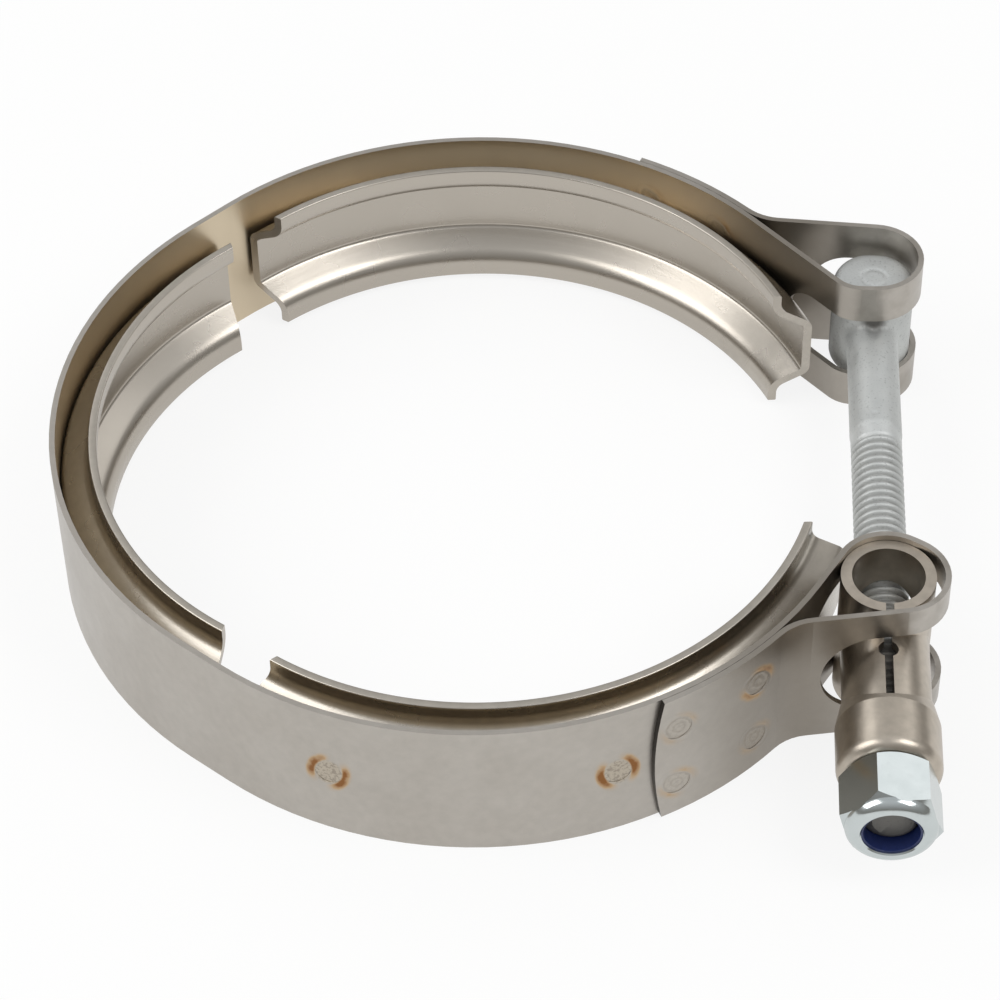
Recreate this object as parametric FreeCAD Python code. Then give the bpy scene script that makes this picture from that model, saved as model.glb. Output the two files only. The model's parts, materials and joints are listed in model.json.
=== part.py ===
import FreeCAD, Part
import math
import os

# T-bolt V-band clamp, open.  Millimetres, +Z along the ring's axis.
# Origin: ring axis at half the strap's width.  The T-bolt lies along Y on the +X side,
# its cross head in the rear (+Y) loop and the trunnion in the front (-Y) loop.

# ---- driving dimensions -------------------------------------------------
STRAP_WIDTH = 25.0
STRAP_THICKNESS = 0.85

LIP_RADIUS = 49.95           # inner face of a retainer's lips, about the retainer's own centre
RETAINER_DEPTH = 6.05        # lip's inner face to the web's outer face
RETAINER_SHEET = 1.25
RETAINER_HALF_HEIGHT = 11.3
LIP_LENGTH = 3.3             # straight upright lip at each edge
LEG_RISE = 3.0               # height taken by each slanted leg
WEB_BEND = 1.5               # bend radius at mid-sheet, between the web and a leg
LIP_BEND = 3.0               # the same, between a leg and its lip
RETAINER_HALF_ARC = 53.0     # degrees each side of the retainer's middle, at the lips
RETAINER_END_SLANT = 2.2     # how far the web runs on past the lips at each end
RETAINER_GAP = 5.56          # between the webs of neighbouring retainers
LEFT_RETAINER_ANGLE = 184.75
RETAINER_SHIFT = 6.5         # how far each retainer stands outwards in the open clamp
STRAP_SHIFT = 5.0            # the same for the strap's curve over it, which is flatter
LEFT_SAG = 0.8               # how much less the left retainer and its stretch of strap stand out

WELD_GAP = 0.05              # play between sheets that are held by spot welds
NUGGET_RADIUS = 2.2
WELD_MARK_RADIUS = 2.1
WELD_MARK_DEPTH = 0.06
WELD_STEP = 41.0             # degrees between spot welds along a retainer
WELD_OFFSET = 1.7            # degrees from an end retainer's middle to its first weld
REAR_TAIL_WELDS = (63.2, 49.8)      # degrees round the retainer's centre
FRONT_TAIL_WELDS = (-58.7, -45.0)
TAIL_WELD_HEIGHT = 6.0

FLANGE_ROOM = 2.3            # from the web's radius, and so from a flange's rim, to the bolt's shank
END_ROOM = 1.5               # from a retainer's end to the bolt's shank
HEAD_ANGLE = 30.0            # degrees round the ring from +X, to the cross head
TRUNNION_ANGLE = -26.0       # the same, to the trunnion

HEAD_RADIUS = 6.4
HEAD_HALF_LENGTH = 8.4
HEAD_ROUNDING = 1.6
HEAD_BACK = 5.6              # from the head's axis to the flat along its back
HEAD_ROOT = 1.2              # fillet between the head and the shank
SHANK_RADIUS = 4.05
THREAD_RADIUS = 3.95
THREAD_START = 27.1          # from the head's axis
BOLT_END_ROUNDING = 0.8

BARREL_RADIUS = 6.9
BARREL_WALL = 1.6
BARREL_HALF_LENGTH = 11.5
STEM_RADIUS = 6.5
STEM_WALL = 1.5
STEM_LENGTH = 25.6           # from the barrel's axis
SLIT_WIDTH = 1.2
SLIT_RELIEF_RADIUS = 1.45
REAR_HOLE_RADIUS = 4.75

LOOP_PLAY = 0.06             # loop round the head and the barrel, where they seat
HEAD_LOOP_RADIUS = 7.2       # mid-strap radius of the wide end of the head's loop
HEAD_LOOP_SHIFT = -0.1       # its centre, from the bolt's axis away from the ring
HEAD_LOOP_CORNER = 5.0       # mid-strap radius of its inner corner
HEAD_CORNER_INSET = 2.35     # corner's centre, from the bolt's axis towards the ring
TRUNNION_LOOP_RADIUS = 7.1   # mid-strap radius of the wide end of the trunnion's loop
TRUNNION_LOOP_SHIFT = 1.4    # its centre, from the bolt's axis away from the ring
TRUNNION_LOOP_DROP = 0.5
TAIL_BEND = 8.0
REAR_TAIL_LEAVES = 45.5      # degrees round the retainer's centre, where each tail lifts off
FRONT_TAIL_LEAVES = -40.5
REAR_TAIL_END = 67.0
FRONT_TAIL_END = -62.3
TAIL_END_BULGE = 1.3

HEAD_WINDOW_HALF_HEIGHT = 5.8
TRUNNION_WINDOW_HALF_HEIGHT = 7.6
WINDOW_TAIL_REACH = 9.4      # from the bolt's axis towards the ring, along the tail side
WINDOW_BACK_REACH = 10.2     # from the loop's bend towards the ring, along the inner side

COLLAR_RADIUS = 7.6
COLLAR_START = 14.6          # from the barrel's axis, at the collar's sides
COLLAR_CREST_START = 18.2    # the same, over its top and bottom
COLLAR_BLUNT = 2.0           # half the height over which the shoulder's edge is rounded
COLLAR_FULL = 19.5           # where the shoulder reaches full radius, at the sides
COLLAR_END = 28.4
COLLAR_ROUNDING = 1.9
COLLAR_BORE_RADIUS = 4.6
COLLAR_FIT = 0.03

NUT_SEAT_GAP = 0.15
NUT_FLATS = 13.0
NUT_HEIGHT = 9.8
NUT_HEX_HEIGHT = 7.6          # seat to where the corners end
NUT_SHOULDER = 0.65          # height of the chamfer from the corners to the crown
NUT_CORNER_TURN = 48.0       # degrees, one corner from +X towards +Z
NUT_CROWN_RADIUS = 5.35
NUT_CROWN_STEP = 0.12        # how far the crown stands out past the flats at its foot
NUT_THREAD_PLAY = 0.05
NYLON_RADIUS = 4.9
NYLON_LENGTH = 2.6
NYLON_LIP = 0.45             # thickness of the crown's lip over the insert
NYLON_LIP_RADIUS = 4.3
NYLON_FIT = 0.02
BOLT_END_INSIDE = 2.2        # bolt's end, inside the nut's crown

V = FreeCAD.Vector
UP = V(0, 0, 1)
REAR, LEFT, FRONT = -1, 0, 1


def cosd(a):
    return math.cos(math.radians(a))


def sind(a):
    return math.sin(math.radians(a))


def web_end():
    """Where a retainer's web ends: its distance from the ring's axis, and degrees from the middle."""
    half = RETAINER_HALF_ARC + math.degrees(RETAINER_END_SLANT / LIP_RADIUS)
    x = RETAINER_SHIFT + WEB_RADIUS * cosd(half)
    y = WEB_RADIUS * sind(half)
    return math.hypot(x, y), math.degrees(math.atan2(y, x))


# ---- sizes that follow ---------------------------------------------------
WEB_RADIUS = LIP_RADIUS + RETAINER_DEPTH
WEB_END_RADIUS, WEB_END_ANGLE = web_end()
RETAINER_PITCH = 2 * (WEB_END_ANGLE + math.degrees(math.asin(RETAINER_GAP / 2 / WEB_END_RADIUS)))
BAND_END_X = max(WEB_END_RADIUS * cosd(LEFT_RETAINER_ANGLE + side * (RETAINER_PITCH + WEB_END_ANGLE))
                 for side in (REAR, FRONT))
BOLT_X = max(WEB_RADIUS + FLANGE_ROOM, BAND_END_X + END_ROOM) + SHANK_RADIUS
HEAD_Y = BOLT_X * math.tan(math.radians(HEAD_ANGLE))
TRUNNION_Y = BOLT_X * math.tan(math.radians(TRUNNION_ANGLE))
THREAD_START_Y = HEAD_Y - THREAD_START
STRAP_RADIUS = WEB_RADIUS + RETAINER_SHIFT - STRAP_SHIFT + WELD_GAP + STRAP_THICKNESS / 2   # mid-strap
TAIL_RADIUS = STRAP_RADIUS + STRAP_THICKNESS + WELD_GAP         # mid-tail
COLLAR_END_Y = TRUNNION_Y - COLLAR_END
NUT_SEAT_Y = COLLAR_END_Y - NUT_SEAT_GAP
NUT_END_Y = NUT_SEAT_Y - NUT_HEIGHT
BOLT_END_Y = NUT_END_Y + BOLT_END_INSIDE


def retainer_angle(which):
    return LEFT_RETAINER_ANGLE + which * RETAINER_PITCH


def shifted_centre(which, shift):
    """Centre of a curve that stands outwards by the shift, behind that retainer."""
    a = retainer_angle(which)
    out = shift - (LEFT_SAG if which == LEFT else 0)
    return (out * cosd(a), out * sind(a))


def retainer_centre(which):
    return shifted_centre(which, RETAINER_SHIFT)


def strap_centre(which):
    return shifted_centre(which, STRAP_SHIFT)


def polar(centre, radius, angle, z=0.0):
    return V(centre[0] + radius * cosd(angle), centre[1] + radius * sind(angle), z)


# ---- strap ----------------------------------------------------------------
# The strap's middle line runs round circles like a belt.  Each circle is
# (centre, radius, turn): turn is +1 where the belt goes anticlockwise, -1 clockwise.

def rear_loop_circles():
    """Wide end and inner corner of the loop that holds the bolt's cross head."""
    seat_y = HEAD_Y - HEAD_RADIUS - LOOP_PLAY - STRAP_THICKNESS / 2
    wide = ((BOLT_X + HEAD_LOOP_SHIFT, seat_y + HEAD_LOOP_RADIUS), HEAD_LOOP_RADIUS, -1)
    corner = ((BOLT_X - HEAD_CORNER_INSET, seat_y + HEAD_LOOP_CORNER), HEAD_LOOP_CORNER, -1)
    return wide, corner


def front_loop_circles():
    """Snug corner round the trunnion's barrel and the loop's wide end."""
    snug_radius = BARREL_RADIUS + LOOP_PLAY + STRAP_THICKNESS / 2
    snug = ((BOLT_X, TRUNNION_Y), snug_radius, -1)
    wide = ((BOLT_X + TRUNNION_LOOP_SHIFT, TRUNNION_Y - TRUNNION_LOOP_DROP), TRUNNION_LOOP_RADIUS, -1)
    return snug, wide


def tail_bend(which, leaves):
    centre = strap_centre(which)
    c = polar(centre, TAIL_RADIUS + TAIL_BEND, leaves)
    return ((c.x, c.y), TAIL_BEND, 1)


def belt_circles():
    wide_a, corner_a = rear_loop_circles()
    snug_b, wide_b = front_loop_circles()
    return [
        (strap_centre(REAR), TAIL_RADIUS, -1),
        tail_bend(REAR, REAR_TAIL_LEAVES),
        wide_a,
        corner_a,
        (strap_centre(REAR), STRAP_RADIUS, 1),
        (strap_centre(LEFT), STRAP_RADIUS, 1),
        (strap_centre(FRONT), STRAP_RADIUS, 1),
        snug_b,
        wide_b,
        tail_bend(FRONT, FRONT_TAIL_LEAVES),
        (strap_centre(FRONT), TAIL_RADIUS, -1),
    ]


def tangent(first, second):
    """Points where the belt leaves the first circle and meets the second."""
    (c1, r1, s1), (c2, r2, s2) = first, second
    dx, dy = c2[0] - c1[0], c2[1] - c1[1]
    lean = max(-1.0, min(1.0, (s2 * r2 - s1 * r1) / math.hypot(dx, dy)))
    heading = math.atan2(dy, dx) - math.asin(lean)
    nx, ny = -math.sin(heading), math.cos(heading)
    leave = (c1[0] - s1 * r1 * nx, c1[1] - s1 * r1 * ny)
    meet = (c2[0] - s2 * r2 * nx, c2[1] - s2 * r2 * ny)
    return leave, meet, math.degrees(heading)


def angle_of(centre, point):
    return math.degrees(math.atan2(point[1] - centre[1], point[0] - centre[0]))


def belt_arcs():
    """Each circle with the angles where the belt comes on to it and leaves it."""
    circles = belt_circles()
    joins = [tangent(circles[i], circles[i + 1]) for i in range(len(circles) - 1)]
    arcs = []
    for i, (centre, radius, turn) in enumerate(circles):
        start = REAR_TAIL_END if i == 0 else angle_of(centre, joins[i - 1][1])
        end = FRONT_TAIL_END if i == len(circles) - 1 else angle_of(centre, joins[i][0])
        while turn * (end - start) < -1e-6:
            end += turn * 360.0
        arcs.append((centre, radius, turn, start, end))
    return arcs


def ribbon_side(arcs, side):
    """Edges of one face of the strap; side is +1 on the belt's left hand."""
    edges, last = [], None
    for centre, radius, turn, start, end in arcs:
        r = radius - side * turn * STRAP_THICKNESS / 2
        a, b = polar(centre, r, start), polar(centre, r, end)
        if last is not None and last.distanceToPoint(a) > 1e-5:
            edges.append(Part.makeLine(last, a))
        if last is not None and last.distanceToPoint(a) <= 1e-5:
            a = last
        if abs(end - start) > 1e-3:
            middle = polar(centre, r, (start + end) / 2)
            edges.append(Part.Arc(a, middle, b).toShape())
            last = b
    return edges


def side_ends(edges):
    return edges[0].Vertexes[0].Point, edges[-1].Vertexes[-1].Point


def strap_ribbon():
    arcs = belt_arcs()
    left, right = ribbon_side(arcs, 1), ribbon_side(arcs, -1)
    first, last = arcs[0], arcs[-1]
    h = STRAP_THICKNESS / 2
    start = [polar(first[0], first[1] + k * h, first[3]) for k in (first[2], -first[2])]
    finish = [polar(last[0], last[1] + k * h, last[4]) for k in (last[2], -last[2])]
    edges = left + right + [Part.makeLine(start[0], start[1]), Part.makeLine(finish[0], finish[1])]
    wire = Part.Wire(Part.__sortEdges__(edges))
    face = Part.Face(wire)
    face.translate(V(0, 0, -STRAP_WIDTH / 2))
    return face.extrude(V(0, 0, STRAP_WIDTH))


def stadium_cutter(end_point, direction, length, through, r):
    """Long slot with one full-radius end, cut square to the line of the given direction."""
    d = V(direction[0], direction[1], 0).normalize()
    n = V(-d.y, d.x, 0)
    centre = V(end_point[0], end_point[1], 0) + d * r
    base = centre - n * through
    disc = Part.makeCylinder(r, 2 * through, base, n)
    corners = [base - UP * r, base + d * (length - r) - UP * r,
               base + d * (length - r) + UP * r, base + UP * r]
    slab = Part.Face(Part.makePolygon(corners + corners[:1])).extrude(n * (2 * through))
    return disc.fuse(slab)


def loop_window(bend, wide, ring_circle, side, tail_y, half):
    """The long window through one loop; side is +1 for the rear loop."""
    arriving = tangent(ring_circle, bend) if side < 0 else tangent(bend, ring_circle)
    at_bend = arriving[1] if side < 0 else arriving[0]
    h = math.radians(arriving[2])
    d = (math.cos(h), math.sin(h)) if side < 0 else (-math.cos(h), -math.sin(h))
    end = (at_bend[0] - d[0] * WINDOW_BACK_REACH, at_bend[1] - d[1] * WINDOW_BACK_REACH)
    back = stadium_cutter(end, d, WINDOW_BACK_REACH + 1.0, 1.8, half)
    reach_x = wide[0][0] + wide[1] + 2.0
    inner_x = min(at_bend[0], bend[0][0] - bend[1]) - 0.3
    inner_y = bend[0][1] - side * (bend[1] + 1.0)
    outer_y = wide[0][1]
    round_end = Part.makeBox(reach_x - inner_x, abs(outer_y - inner_y), 2 * half,
                             V(inner_x, min(inner_y, outer_y), -half))
    tail_start = (BOLT_X - WINDOW_TAIL_REACH, outer_y + side * (abs(tail_y - outer_y)) / 2)
    through = abs(tail_y - outer_y) / 2 + 0.05
    tail = stadium_cutter(tail_start, (1, 0), reach_x - tail_start[0], through, half)
    return back.fuse(round_end).fuse(tail)


def strap_windows():
    wide_a, corner_a = rear_loop_circles()
    snug_b, wide_b = front_loop_circles()
    ring_rear = (strap_centre(REAR), STRAP_RADIUS, 1)
    ring_front = (strap_centre(FRONT), STRAP_RADIUS, 1)
    rear_tail_y = wide_a[0][1] + wide_a[1] + 3.0
    front_tail_y = wide_b[0][1] - wide_b[1] - 4.5
    rear = loop_window(corner_a, wide_a, ring_rear, 1, rear_tail_y, HEAD_WINDOW_HALF_HEIGHT)
    front = loop_window(snug_b, wide_b, ring_front, -1, front_tail_y, TRUNNION_WINDOW_HALF_HEIGHT)
    return rear, front


def tail_end_trim(which, end_angle, towards_loop):
    """Rounds the free end of a tail, taking its two corners off in a shallow curve."""
    centre = strap_centre(which)
    half = STRAP_WIDTH / 2
    curve = (half * half + TAIL_END_BULGE ** 2) / (2 * TAIL_END_BULGE)
    out = polar((0, 0), 1, end_angle)
    along = V(-out.y, out.x, 0) * towards_loop
    foot = polar(centre, TAIL_RADIUS - STRAP_THICKNESS / 2 - WELD_GAP / 2, end_angle)
    keep = Part.makeCylinder(curve, 4.0, foot + along * curve, out)
    block_depth = TAIL_END_BULGE + 1.5
    corners = [foot - along * 1.5 - UP * (half + 1), foot + along * (block_depth - 1.5) - UP * (half + 1),
               foot + along * (block_depth - 1.5) + UP * (half + 1), foot - along * 1.5 + UP * (half + 1)]
    block = Part.Face(Part.makePolygon(corners + corners[:1])).extrude(out * 4.0)
    return block.cut(keep)


def weld_places():
    """Spot welds on the ring (angle, height) and on the two tails, by retainer."""
    front, rear = retainer_angle(FRONT) + WELD_OFFSET, retainer_angle(REAR) - WELD_OFFSET
    left = retainer_angle(LEFT)
    ring = [(FRONT, front, 0), (FRONT, front - WELD_STEP, 0), (REAR, rear, 0), (REAR, rear + WELD_STEP, 0),
            (LEFT, left, 0), (LEFT, left - WELD_STEP, 0)]
    tails = [(which, a, z) for which, angles in ((FRONT, FRONT_TAIL_WELDS), (REAR, REAR_TAIL_WELDS))
             for a in angles for z in (TAIL_WELD_HEIGHT, -TAIL_WELD_HEIGHT)]
    return ring, tails


def weld_cylinder(which, angle, z, inner, outer, radius):
    centre = strap_centre(which)
    out = polar((0, 0), 1, angle)
    return Part.makeCylinder(radius, outer - inner, polar(centre, inner, angle, z), out)


def make_strap():
    body = strap_ribbon()
    for cutter in strap_windows():
        body = body.cut(cutter)
    body = body.cut(tail_end_trim(REAR, REAR_TAIL_END, -1))
    body = body.cut(tail_end_trim(FRONT, FRONT_TAIL_END, 1))
    ring, tails = weld_places()
    skin = STRAP_RADIUS + STRAP_THICKNESS / 2
    top = TAIL_RADIUS + STRAP_THICKNESS / 2
    for which, angle, z in tails:
        body = body.fuse(weld_cylinder(which, angle, z, skin - 0.3, skin + WELD_GAP + 0.3, NUGGET_RADIUS))
    for which, angle, z in ring:
        body = body.cut(weld_cylinder(which, angle, z, skin - WELD_MARK_DEPTH, skin + 1, WELD_MARK_RADIUS))
    for which, angle, z in tails:
        body = body.cut(weld_cylinder(which, angle, z, top - WELD_MARK_DEPTH, top + 1, WELD_MARK_RADIUS))
    return body.removeSplitter()


# ---- retainers --------------------------------------------------------------

def retainer_middle_line():
    """Corner points of the section at mid-sheet, as (radius, height)."""
    h = RETAINER_SHEET / 2
    lip, web = LIP_RADIUS + h, WEB_RADIUS - h
    top = RETAINER_HALF_HEIGHT
    knee = top - LIP_LENGTH
    foot = knee - LEG_RISE
    return [(lip, top), (lip, knee), (web, foot), (web, -foot), (lip, -knee), (lip, -top)]


def bent_sheet_face(points, thickness, bends):
    """Section of a sheet bent at its inner points, each with its own radius, as a face in the XZ plane."""
    pts = [V(r, 0, z) for r, z in points]
    edges_by_side = []
    for side in (1, -1):
        edges, last = [], None
        for i, p in enumerate(pts):
            if i in (0, len(pts) - 1):
                d = (pts[1] - pts[0] if i == 0 else pts[-1] - pts[-2]).normalize()
                q = p + V(-d.z, 0, d.x) * (side * thickness / 2)
                if last is not None:
                    edges.append(Part.makeLine(last, q))
                last = q
                continue
            d1 = (p - pts[i - 1]).normalize()
            d2 = (pts[i + 1] - p).normalize()
            turn = d1.x * d2.z - d1.z * d2.x
            half = d1.getAngle(d2) / 2
            bend = bends[i - 1]
            setback = bend * math.tan(half)
            n1 = V(-d1.z, 0, d1.x) * (1 if turn > 0 else -1)
            centre = p - d1 * setback + n1 * bend
            r = bend - side * (1 if turn > 0 else -1) * thickness / 2
            n2 = V(-d2.z, 0, d2.x) * (1 if turn > 0 else -1)
            a, b = centre - n1 * r, centre - n2 * r
            m = centre - (n1 + n2).normalize() * r
            edges.append(Part.makeLine(last, a))
            edges.append(Part.Arc(a, m, b).toShape())
            last = b
        edges_by_side.append(edges)
    left, right = edges_by_side
    a0, a1 = side_ends(left)[0], side_ends(left)[1]
    b0, b1 = side_ends(right)[0], side_ends(right)[1]
    wire = Part.Wire(Part.__sortEdges__(left + right + [Part.makeLine(a0, b0), Part.makeLine(a1, b1)]))
    return Part.Face(wire)


def retainer_end_trim(side):
    """Cuts one end back, so that the lips end short of the web."""
    lip = polar((0, 0), LIP_RADIUS, side * RETAINER_HALF_ARC)
    out = polar((0, 0), 1, side * RETAINER_HALF_ARC)
    along = V(-out.y, out.x, 0) * side
    line = (out * RETAINER_DEPTH + along * RETAINER_END_SLANT).normalize()
    reach = 3 * RETAINER_DEPTH
    foot = lip - line * RETAINER_DEPTH - UP * (RETAINER_HALF_HEIGHT + 1)
    corners = [foot, foot + line * reach, foot + line * reach + along * reach, foot + along * reach]
    return Part.Face(Part.makePolygon(corners + corners[:1])).extrude(UP * (2 * RETAINER_HALF_HEIGHT + 2))


def make_retainer(which):
    bends = (LIP_BEND, WEB_BEND, WEB_BEND, LIP_BEND)
    section = bent_sheet_face(retainer_middle_line(), RETAINER_SHEET, bends)
    half = RETAINER_HALF_ARC + 2 * math.degrees(RETAINER_END_SLANT / LIP_RADIUS)
    solid = section.revolve(V(0, 0, 0), UP, 2 * half)
    solid.rotate(V(0, 0, 0), UP, -half)
    for side in (1, -1):
        solid = solid.cut(retainer_end_trim(side))
    solid.rotate(V(0, 0, 0), UP, retainer_angle(which))
    cx, cy = retainer_centre(which)
    solid.translate(V(cx, cy, 0))
    return solid


# ---- T-bolt -------------------------------------------------------------------

def turned(points, axis_x=BOLT_X):
    """Solid turned about the bolt's axis from (y, radius) points."""
    pts = [V(axis_x + r, y, 0) for y, r in points]
    face = Part.Face(Part.makePolygon(pts + pts[:1]))
    return face.revolve(V(axis_x, 0, 0), V(0, 1, 0), 360)


def make_t_bolt():
    head = Part.makeCylinder(HEAD_RADIUS, 2 * HEAD_HALF_LENGTH, V(BOLT_X, HEAD_Y, -HEAD_HALF_LENGTH), UP)
    rims = [e for e in head.Edges if abs(abs(e.CenterOfMass.z) - HEAD_HALF_LENGTH) < 1e-6
            and e.Length > HEAD_RADIUS]
    head = head.makeFillet(HEAD_ROUNDING, rims)
    side = 2 * HEAD_RADIUS
    back = Part.makeBox(2 * side, side, 2 * side, V(BOLT_X - side, HEAD_Y + HEAD_BACK, -side))
    shank = turned([(HEAD_Y, 0), (HEAD_Y, SHANK_RADIUS), (THREAD_START_Y + 0.3, SHANK_RADIUS),
                    (THREAD_START_Y - 0.3, THREAD_RADIUS),
                    (BOLT_END_Y + BOLT_END_ROUNDING, THREAD_RADIUS),
                    (BOLT_END_Y, THREAD_RADIUS - BOLT_END_ROUNDING), (BOLT_END_Y, 0)])
    body = head.cut(back).fuse(shank).removeSplitter()
    highest_root = HEAD_Y - math.sqrt(HEAD_RADIUS ** 2 - SHANK_RADIUS ** 2) + 0.01
    roots = [e for e in body.Edges
             if THREAD_START_Y + 1 < e.BoundBox.YMin and e.BoundBox.YMax < highest_root]
    return body.makeFillet(HEAD_ROOT, roots)


# ---- trunnion -------------------------------------------------------------------

def make_trunnion():
    inner = BARREL_RADIUS - BARREL_WALL
    barrel = Part.makeCylinder(BARREL_RADIUS, 2 * BARREL_HALF_LENGTH,
                               V(BOLT_X, TRUNNION_Y, -BARREL_HALF_LENGTH), UP)
    stem = Part.makeCylinder(STEM_RADIUS, STEM_LENGTH, V(BOLT_X, TRUNNION_Y, 0), V(0, -1, 0))
    bore = Part.makeCylinder(inner, 2 * BARREL_HALF_LENGTH + 2,
                             V(BOLT_X, TRUNNION_Y, -BARREL_HALF_LENGTH - 1), UP)
    stem_bore = Part.makeCylinder(STEM_RADIUS - STEM_WALL, STEM_LENGTH + 1,
                                  V(BOLT_X, TRUNNION_Y, 0), V(0, -1, 0))
    rear_hole = Part.makeCylinder(REAR_HOLE_RADIUS, BARREL_RADIUS + 1, V(BOLT_X, TRUNNION_Y, 0), V(0, 1, 0))
    body = barrel.fuse(stem)
    for hollow in (bore, stem_bore, rear_hole):
        body = body.cut(hollow)
    for cutter in trunnion_slits():
        body = body.cut(cutter)
    return body.removeSplitter()


def trunnion_slits():
    """Seam of the rolled sheet: down the barrel's front at both ends and along the stem."""
    half = SLIT_WIDTH / 2
    height = BARREL_HALF_LENGTH + 1
    seam_end = TRUNNION_Y - COLLAR_CREST_START - 0.6
    relief_y = TRUNNION_Y - BARREL_RADIUS - SLIT_RELIEF_RADIUS - 1.2
    cutters = []
    for up in (1, -1):
        start = V(BOLT_X - half, seam_end, 0 if up > 0 else -height)
        cutters.append(Part.makeBox(SLIT_WIDTH, TRUNNION_Y - seam_end, height, start))
        cutters.append(Part.makeCylinder(SLIT_RELIEF_RADIUS, height, V(BOLT_X, relief_y, 0), UP * up))
    return cutters


def make_trunnion_collar():
    y = TRUNNION_Y
    bore = STEM_RADIUS + COLLAR_FIT
    rounding = COLLAR_ROUNDING
    stem_end = y - STEM_LENGTH - COLLAR_FIT
    outline = [V(BOLT_X + bore, y - COLLAR_START, 0), V(BOLT_X + COLLAR_RADIUS, y - COLLAR_FULL, 0)]
    straight_end = V(BOLT_X + COLLAR_RADIUS, COLLAR_END_Y + rounding, 0)
    curve_end = V(BOLT_X + COLLAR_RADIUS - rounding, COLLAR_END_Y, 0)
    curve_centre = V(BOLT_X + COLLAR_RADIUS - rounding, COLLAR_END_Y + rounding, 0)
    curve_mid = curve_centre + V(1, -1, 0).normalize() * rounding
    inside = [V(BOLT_X + COLLAR_BORE_RADIUS, COLLAR_END_Y, 0), V(BOLT_X + COLLAR_BORE_RADIUS, stem_end, 0),
              V(BOLT_X + bore, stem_end, 0)]
    edges = [Part.makeLine(outline[0], outline[1]), Part.makeLine(outline[1], straight_end),
             Part.Arc(straight_end, curve_mid, curve_end).toShape(), Part.makeLine(curve_end, inside[0]),
             Part.makeLine(inside[0], inside[1]), Part.makeLine(inside[1], inside[2]),
             Part.makeLine(inside[2], outline[0])]
    solid = Part.Face(Part.Wire(edges)).revolve(V(BOLT_X, 0, 0), V(0, 1, 0), 360)
    return solid.cut(collar_saddle()).removeSplitter()


def collar_saddle():
    """Takes the shoulder back above and below the bolt's axis, in a blunt wedge."""
    r = COLLAR_RADIUS
    slope = (COLLAR_CREST_START - COLLAR_START) / STEM_RADIUS
    apex = TRUNNION_Y - COLLAR_START
    blunt = COLLAR_BLUNT
    low = V(BOLT_X - 2 * r, apex - slope * blunt, -blunt)
    high = V(BOLT_X - 2 * r, apex - slope * blunt, blunt)
    nose = V(BOLT_X - 2 * r, apex - slope * blunt / 2, 0)
    far_low = V(BOLT_X - 2 * r, apex - slope * 2 * r, -2 * r)
    far_high = V(BOLT_X - 2 * r, apex - slope * 2 * r, 2 * r)
    out_low, out_high = V(BOLT_X - 2 * r, apex + 1, -2 * r), V(BOLT_X - 2 * r, apex + 1, 2 * r)
    edges = [Part.LineSegment(far_low, low).toShape(), Part.Arc(low, nose, high).toShape(),
             Part.LineSegment(high, far_high).toShape(), Part.LineSegment(far_high, out_high).toShape(),
             Part.LineSegment(out_high, out_low).toShape(), Part.LineSegment(out_low, far_low).toShape()]
    return Part.Face(Part.Wire(edges)).extrude(V(4 * r, 0, 0))


# ---- nut and its insert --------------------------------------------------------

def make_lock_nut():
    corner = NUT_FLATS / 2 / cosd(30)
    pts = [V(BOLT_X + corner * cosd(NUT_CORNER_TURN + 60 * k), NUT_SEAT_Y,
             corner * sind(NUT_CORNER_TURN + 60 * k)) for k in range(6)]
    prism = Part.Face(Part.makePolygon(pts + pts[:1])).extrude(V(0, -NUT_HEIGHT, 0))
    shell = nut_turned_envelope(corner)
    thread = turned([(NUT_SEAT_Y + 1, 0), (NUT_SEAT_Y + 1, THREAD_RADIUS + NUT_THREAD_PLAY),
                     (NUT_END_Y - 1, THREAD_RADIUS + NUT_THREAD_PLAY), (NUT_END_Y - 1, 0)])
    lip_y = NUT_END_Y + NYLON_LIP
    pocket = turned([(lip_y + NYLON_LENGTH + NYLON_FIT, 0),
                     (lip_y + NYLON_LENGTH + NYLON_FIT, NYLON_RADIUS + NYLON_FIT),
                     (lip_y - NYLON_FIT, NYLON_RADIUS + NYLON_FIT), (lip_y - NYLON_FIT, 0)])
    mouth = turned([(lip_y + 0.1, 0), (lip_y + 0.1, NYLON_LIP_RADIUS), (NUT_END_Y + 0.2, NYLON_LIP_RADIUS),
                    (NUT_END_Y - 0.2, NYLON_LIP_RADIUS + 0.4), (NUT_END_Y - 1, NYLON_LIP_RADIUS + 0.4),
                    (NUT_END_Y - 1, 0)])
    return prism.common(shell).cut(thread).cut(pocket).cut(mouth).removeSplitter()


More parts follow.
